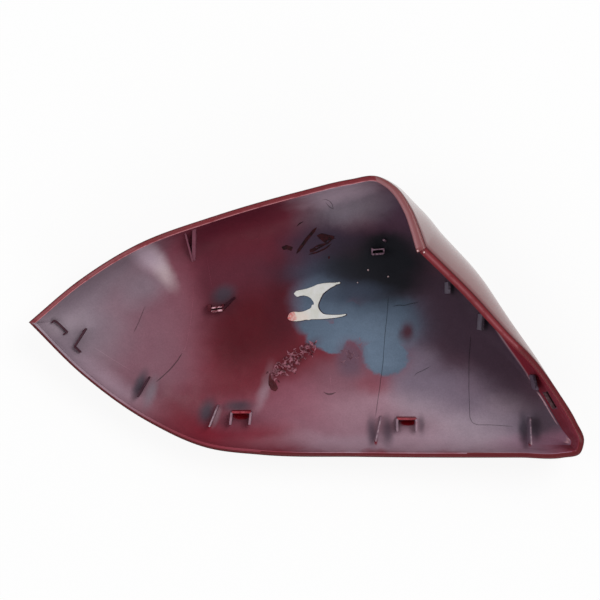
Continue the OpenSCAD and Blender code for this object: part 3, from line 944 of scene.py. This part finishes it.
def warped(n, place, scale, amount, seed):
    noise = n.noise(scale, 3.0, vector=n.vector("ADD", place, (seed, 0, 0)), output="Color")
    return n.vector("ADD", place, n.scaled(n.vector("SUBTRACT", noise, (0.5, 0.5, 0.5)), amount))


def overspray_group():
    """Colour of the inside: overspray, bare primer, painted highlights on the wall and along the
    crease, and shade beside the ribs, partly painted shade and partly overspray that fell thin.
    """
    group = bpy.data.node_groups.new("overspray", "ShaderNodeTree")
    group.interface.new_socket("Color", in_out="OUTPUT", socket_type="NodeSocketColor")
    n = Nodes(group)
    place = n.place()
    soft = warped(n, warped(n, place, 40, 0.009, 0.3), 220, 0.0022, 0.7)
    torn = warped(n, warped(n, place, 120, 0.007, 1.1), 700, 0.0016, 1.9)
    fine = warped(n, place, 260, 0.0014, 0.9)
    colour = patched(n, srgb(*PALETTE["rose"]), soft, PATCHES)
    zones = [patch(n, torn, *zone, 0.12) for zone in PRIMER_TORN]
    zones += [patch(n, soft, *zone, 0.4) for zone in PRIMER_SOFT]
    bare = zones[0]
    for zone in zones[1:]:
        bare = n.math("MAXIMUM", bare, zone)
    notch = n.times(patch(n, torn, *NOTCH, 0.2), 0.85)
    bare = n.times(bare, n.math("SUBTRACT", 1.0, notch))
    primer = patched(n, srgb(*PALETTE["slate"]), soft, PRIMER_TONES)
    banding = n.noise(160, vector=n.vector("MULTIPLY", place, (0.35, 1.6, 1)))
    primer = n.mottled(primer, banding, (0.84, 0.85, 0.86), (1.16, 1.15, 1.14))
    colour = n.mix(bare, colour, primer)
    colour = patched(n, colour, soft, LATE_PATCHES)
    # painted shade and painted highlights beside ribs and clips, with overspray tones
    colour = patched(n, colour, fine, PLACED)
    colour = n.mix(n.times(n.attribute("end_wall"), 0.85), colour, srgb(*PALETTE["end wall"]))
    # painted highlight along the crease at the foot of the end wall
    colour = n.mix(n.attribute("crease_highlight"), colour, srgb(*PALETTE["crease_highlight"]))
    cloud = n.noise(90, 4.0, 0.6)
    colour = n.mottled(colour, cloud, (0.86, 0.86, 0.87), (1.14, 1.13, 1.12))
    grain = n.noise(1400, 2.0, 0.7)
    colour = n.mottled(colour, grain, (0.84, 0.83, 0.84), (1.18, 1.18, 1.19))
    n.put(n.add("NodeGroupOutput").inputs[0], colour)
    return group


def material(name):
    """New material with its node helper and its shader."""
    mat = bpy.data.materials.new(name)
    mat.use_nodes = True
    return mat, Nodes(mat.node_tree), mat.node_tree.nodes["Principled BSDF"]


def toned(colour, factor):
    """The same linear colour, darker or lighter."""
    return tuple(c * factor for c in colour[:3]) + (1.0,)


def inside_material(
    name, group, shade=1.0, gloss=0.45, wear_and_light=0.0, tint=None, share=0.0, light=(196, 140, 148),
):
    """Matt overspray, darker by shade, covered by a share of tint, lighter along tops and edges
    where paint is rubbed and where a highlight is painted.
    """
    mat, n, shader = material(name)
    colour = n.add("ShaderNodeGroup", node_tree=group).outputs[0]
    streak = n.noise(300, 3.0)
    colour = n.mottled(colour, streak, (0.94 * shade,) * 3, (1.06 * shade,) * 3)
    if tint:
        tint = srgb(*tint)
        colour = n.mix(share, colour, n.mix(streak, toned(tint, 0.8), toned(tint, 1.2)))
    if wear_and_light:
        # tops and edges lighter: rubbed paint, and painted highlight where light catches them
        worn = n.span(n.attribute("worn"), 0.55, 0.95)
        worn = n.times(worn, n.span(n.noise(500), 0.3, 0.62))
        colour = n.mix(n.times(worn, wear_and_light), colour, srgb(*light))
    peel = n.bump(n.noise(900), 0.25, 0.00012)
    n.fill(shader, {
        "Base Color": colour,
        "Roughness": n.span(n.noise(160, 3.0), 0.3, 0.7, gloss - 0.08, gloss + 0.1),
        "Specular IOR Level": 0.12,
        "Normal": n.bump(n.noise(3200, 1.0), 0.2, 0.00005, peel),
    })
    return mat


def paint_material():
    """Dark red metallic paint under clear coat, which is weaker towards the end wall."""
    mat, n, shader = material("outer_paint")
    flake = n.noise(5200, 0.0)
    base = n.mix(n.noise(26, 3.0), srgb(96, 12, 20), srgb(116, 18, 27))
    base = n.mix(n.span(flake, 0.6, 0.78, 0, 0.4), base, srgb(160, 74, 70))
    scuff = n.span(n.noise(60, 6.0, 0.7, 1.5), 0.66, 0.74, 0, 0.18)
    apart = n.add("ShaderNodeSeparateXYZ")
    n.put(apart.inputs[0], n.place())
    n.fill(shader, {
        "Base Color": n.mix(scuff, base, srgb(140, 92, 88)),
        "Metallic": 0.2,
        "Roughness": n.span(flake, 0.3, 0.8, 0.34, 0.48),
        "Specular IOR Level": 0.15,
        "Coat Weight": n.span(apart.outputs["X"], 0.055, 0.095, 0.9, 0.62),
        "Coat IOR": 1.52,
        "Coat Roughness": 0.16,
        "Coat Normal": n.bump(n.noise(420, 1.0), 0.12, 0.00006),
        "Normal": n.bump(flake, 0.1, 0.00003),
    })
    return mat


def edge_material(name, base, light, wear_and_light, broken, coat):
    """Paint on the rim and bead, thin and rubbed lighter along the sharp edge, which also carries a
    painted highlight there; painted light across the bead, and painted shade along the rim's outer
    edge.
    """
    mat, n, shader = material(name)
    base, light = srgb(*base), srgb(*light)
    cloud = n.noise(70, 4.0, 0.6)
    colour = n.mix(cloud, toned(base, 0.8), toned(base, 1.22))
    flecks = n.span(n.noise(1500, 3.0, 0.7), 0.6, 0.75, 0, 0.2)
    colour = n.mix(flecks, colour, light)
    whole = n.span(n.noise(240, 4.0, 0.6), 0.32, 0.52, 1 - broken, 1.0)
    # lighter along the edge: rubbed paint with painted highlight, and on the bead a painted light
    # across its round
    worn = n.times(n.span(n.attribute("worn"), 0.0, 1.0), whole)
    colour = n.mix(n.times(worn, wear_and_light), colour, light)
    n.fill(shader, {
        # painted shade on the rim, darkest along its outer edge
        "Base Color": n.mix(n.times(n.attribute("rim_shade"), 0.8), colour, toned(base, 0.2)),
        "Roughness": n.span(cloud, 0.3, 0.7, 0.3, 0.46),
        "Specular IOR Level": 0.25,
        "Coat Weight": coat,
        "Coat Roughness": 0.15,
        "Normal": n.bump(n.noise(800), 0.3, 0.00012),
    })
    return mat


def plain_mark(name, colour, other, gloss, scale=600):
    """Two mixed tones, with their own relief: dried paint and residue, and also painted highlights
    and painted shade.
    """
    mat, n, shader = material(name)
    mixed = n.noise(scale, 4.0, 0.6)
    n.fill(shader, {
        "Base Color": n.mix(n.span(mixed, 0.35, 0.65), srgb(*colour), srgb(*other)),
        "Roughness": n.span(mixed, 0.3, 0.7, gloss, gloss + 0.2),
        "Specular IOR Level": 0.12,
        "Normal": n.bump(mixed, 0.4, 0.0002),
    })
    return mat


def residue_material():
    """Pale bare patch, creamy, mottled and stained red at one tip."""
    mat, n, shader = material("pale_residue")
    mottling = n.noise(260, 4.0, 0.6)
    colour = n.mix(n.span(mottling, 0.3, 0.7), srgb(200, 200, 192), srgb(212, 212, 211))
    spoiled = warped(n, n.place(), 500, 0.003, 2.3)
    stain = patch(n, spoiled, 290, 316.5, 6, 6.5, 0.25)
    speck = n.span(n.noise(1100), 0.4, 0.6, 0.6, 1.0)
    colour = n.mix(n.times(stain, speck), colour, srgb(190, 78, 80))
    halo = n.times(patch(n, spoiled, 300, 316, 9, 6, 0.6), 0.45)
    n.fill(shader, {
        "Base Color": n.mix(halo, colour, srgb(226, 200, 186)),
        "Roughness": n.span(mottling, 0.3, 0.7, 0.5, 0.75),
        "Normal": n.bump(mottling, 0.3, 0.0002),
    })
    return mat


# ---- scene


def window(shell):
    """Shallow window sunk into the inside of the tall wall, just above its foot."""
    s, j = WINDOW_STATION, FACE_RINGS + TURN_RINGS + 2
    along = unit(OUTER[s + 1, j] - OUTER[s - 1, j])
    away = unit(INNER[s, j] - OUTER[s, j])
    up = np.cross(away, along)
    c = OUTER[s, j] + away * (WALL - WINDOW[2])
    corners = [
        c + (along * x * WINDOW[0] + up * y * WINDOW[1]) / 2 + away * z
        for z in (0, 2.5 * WALL) for y in (-1, 1) for x in (-1, 1)
    ]
    box = raw_object("window_cut", (np.array(corners) - ORIGIN) * MM, BOX_FACES)
    for m in shell.data.materials:
        box.data.materials.append(m)
    box.data.polygons.foreach_set("material_index", [3, 3, 4, 4, 3, 3])
    mesh = boolean(shell, box, "DIFFERENCE")
    old = shell.data
    shell.data = mesh
    mesh.name = "cover_shell"
    bpy.data.meshes.remove(old)
    discard(box)
    mesh.set_sharp_from_angle(angle=SHARP)


def floor():
    """Pale flat ground, which shows white to the camera and keeps the object's shadow."""
    points, faces, n, rings = [], [], 48, 14
    for k in range(rings):
        r = 0.05 + 3.2 * (k / (rings - 1)) ** 1.5
        for i in range(n):
            a = 2 * math.pi * i / n
            points.append((r * math.cos(a), r * math.sin(a), -0.0002))
    for k in range(0, (rings - 1) * n, n):
        faces += [(k + i, k + (i + 1) % n, k + n + (i + 1) % n, k + n + i) for i in range(n)]
    faces.append(tuple(range(n)))
    mesh = bpy.data.meshes.new("ground")
    mesh.from_pydata(points, [], faces)
    mesh.update()
    obj = add_object("ground", mesh)
    mat, n, shader = material("ground")
    tone = n.noise(3)
    n.fill(shader, {
        "Base Color": n.mix(tone, (0.9, 0.9, 0.9, 1), (0.93, 0.93, 0.93, 1)), "Roughness": 0.8,
    })
    glow = n.add("ShaderNodeEmission")
    n.fill(glow, {"Color": (1, 1, 1, 1), "Strength": 1.0})
    rays = n.add("ShaderNodeLightPath").outputs
    seen = n.math("MAXIMUM", rays["Is Camera Ray"], rays["Is Glossy Ray"])
    seen = n.math("MAXIMUM", seen, rays["Is Transmission Ray"])
    mixed = n.add("ShaderNodeMixShader")
    parts = (n.times(seen, 0.88), shader.outputs[0], glow.outputs[0])
    for socket, value in zip(mixed.inputs, parts):
        n.put(socket, value)
    n.put(mat.node_tree.nodes["Material Output"].inputs["Surface"], mixed.outputs[0])
    mesh.materials.append(mat)


def lamp(name, place, size, power):
    data = bpy.data.lights.new(name, "AREA")
    data.shape = "DISK"
    data.size, data.energy = size, power
    obj = add_object(name, data)
    obj.location = place
    obj.rotation_euler = (-Vector(place)).to_track_quat("-Z", "Y").to_euler()


def studio():
    """Even white world, seen as white by the camera, and three soft lamps."""
    world = bpy.data.worlds.new("studio")
    bpy.context.scene.world = world
    world.use_nodes = True
    n = Nodes(world.node_tree)
    seen = n.add("ShaderNodeLightPath").outputs["Is Camera Ray"]
    n.fill(world.node_tree.nodes["Background"], {
        "Strength": n.math("ADD", n.times(seen, 0.5), 0.5), "Color": (1, 1, 1, 1),
    })
    lamp("key", (0.55, 0.45, 1.25), 0.7, 7.5)
    lamp("fill", (-0.9, 0.1, 1.0), 0.9, 3.5)
    lamp("low", (0.2, -1.1, 0.8), 0.8, 2.5)


def camera():
    data = bpy.data.cameras.new("camera")
    data.lens, data.sensor_width = LENS, SENSOR
    data.clip_start, data.clip_end = 0.05, 20
    obj = add_object("camera", data)
    obj.location = EYE * MM
    bpy.context.scene.camera = obj


def marks(group):
    """Name, parts and material of each mark on the inner skin."""
    seats = [Vector(OUTER[BEAD[1], -1] + place) for place in GLINTS]
    strokes = ridges(STROKES, 0.2) + [film(line, 0.15) for line in BLOTS]
    return [
        # painted highlights: two glints on the end step of the bead
        ("bead_end_glints", [dome(seat, Vector((0, 0, 1)), 0.42, 0.35) for seat in seats],
         plain_mark("glint", (226, 190, 190), (206, 160, 162), 0.2)),
        ("witness_lines", ridges(DARK_LINES, 0.1), inside_material("dark_lines", group, 0.4, 0.4)),
        ("faint_lines", ridges(FAINT_LINES, 0.08),
         inside_material("faint_lines", group, 1.2, 0.35)),
        # painted highlight where the crease runs into the corner
        ("corner_highlight_line", ridges(CORNER_HIGHLIGHT_LINES, 0.12),
         plain_mark("corner_highlight_line", (216, 166, 176), (196, 142, 152), 0.4)),
        ("brush_strokes", strokes, plain_mark("dried_red", (26, 4, 10), (52, 9, 17), 0.35)),
        ("wrinkled_paint", ridges(wrinkles(*WRINKLES), 0.35),
         plain_mark("wrinkled_red", (60, 9, 20), (156, 98, 112), 0.25, 700)),
        ("fine_crumbs", ridges(wrinkles(*CRUMBS), 0.2),
         plain_mark("crumbs", (88, 52, 64), (128, 92, 106), 0.4, 500)),
        ("drop", [film(DROP, 0.35)], plain_mark("drop_red", (62, 12, 20), (80, 18, 28), 0.22, 300)),
        # painted shadow: a dark film along the residue's edge, shifted to one side
        ("residue_shadow_edge", [film(RESIDUE, 0.08, 0.4, (0.8, 0.1))],
         plain_mark("residue_shadow_edge", (30, 28, 36), (52, 44, 54), 0.5)),
        ("residue", [film(RESIDUE, 0.2)], residue_material()),
        ("specks", [dome(*picked(u, v), radius, height) for u, v, radius, height in SPECKS],
         plain_mark("specks", (196, 176, 176), (150, 120, 126), 0.3)),
    ]


def main():
    group = overspray_group()
    shell = build_shell([
        paint_material(),
        edge_material("rim_paint", (108, 18, 28), (196, 128, 136), 0.9, 0.6, 0.12),
        inside_material("overspray", group, wear_and_light=0.35),
        # floor of the window, near black: painted shade in the recess
        plain_mark("window_shade", (30, 6, 10), (50, 12, 20), 0.75),
        plain_mark("window_end", (110, 80, 86), (134, 102, 106), 0.45),
    ])
    window(shell)
    bead_paint = edge_material("bead_paint", (118, 60, 62), (154, 102, 108), 0.95, 0.1, 0.2)
    pieces = [shell, rim_bead(bead_paint)]
    hollow = hollow_solid()
    for name, blades, tint, share, wear_and_light, light in RIBS:
        tone = inside_material(name + "_tone", group, 1.0, 0.42, wear_and_light, tint, share, light)
        pieces.append(rib_piece(name, blades, hollow, tone))
    discard(hollow)
    for name, parts, mat in marks(group):
        pieces.append(make_mesh(name, *joined(parts), [mat]))
    for piece in pieces:
        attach(piece, "root")
        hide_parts("cover")
    floor()
    studio()
    camera()
    bpy.context.scene.view_settings.view_transform = "Standard"


main()
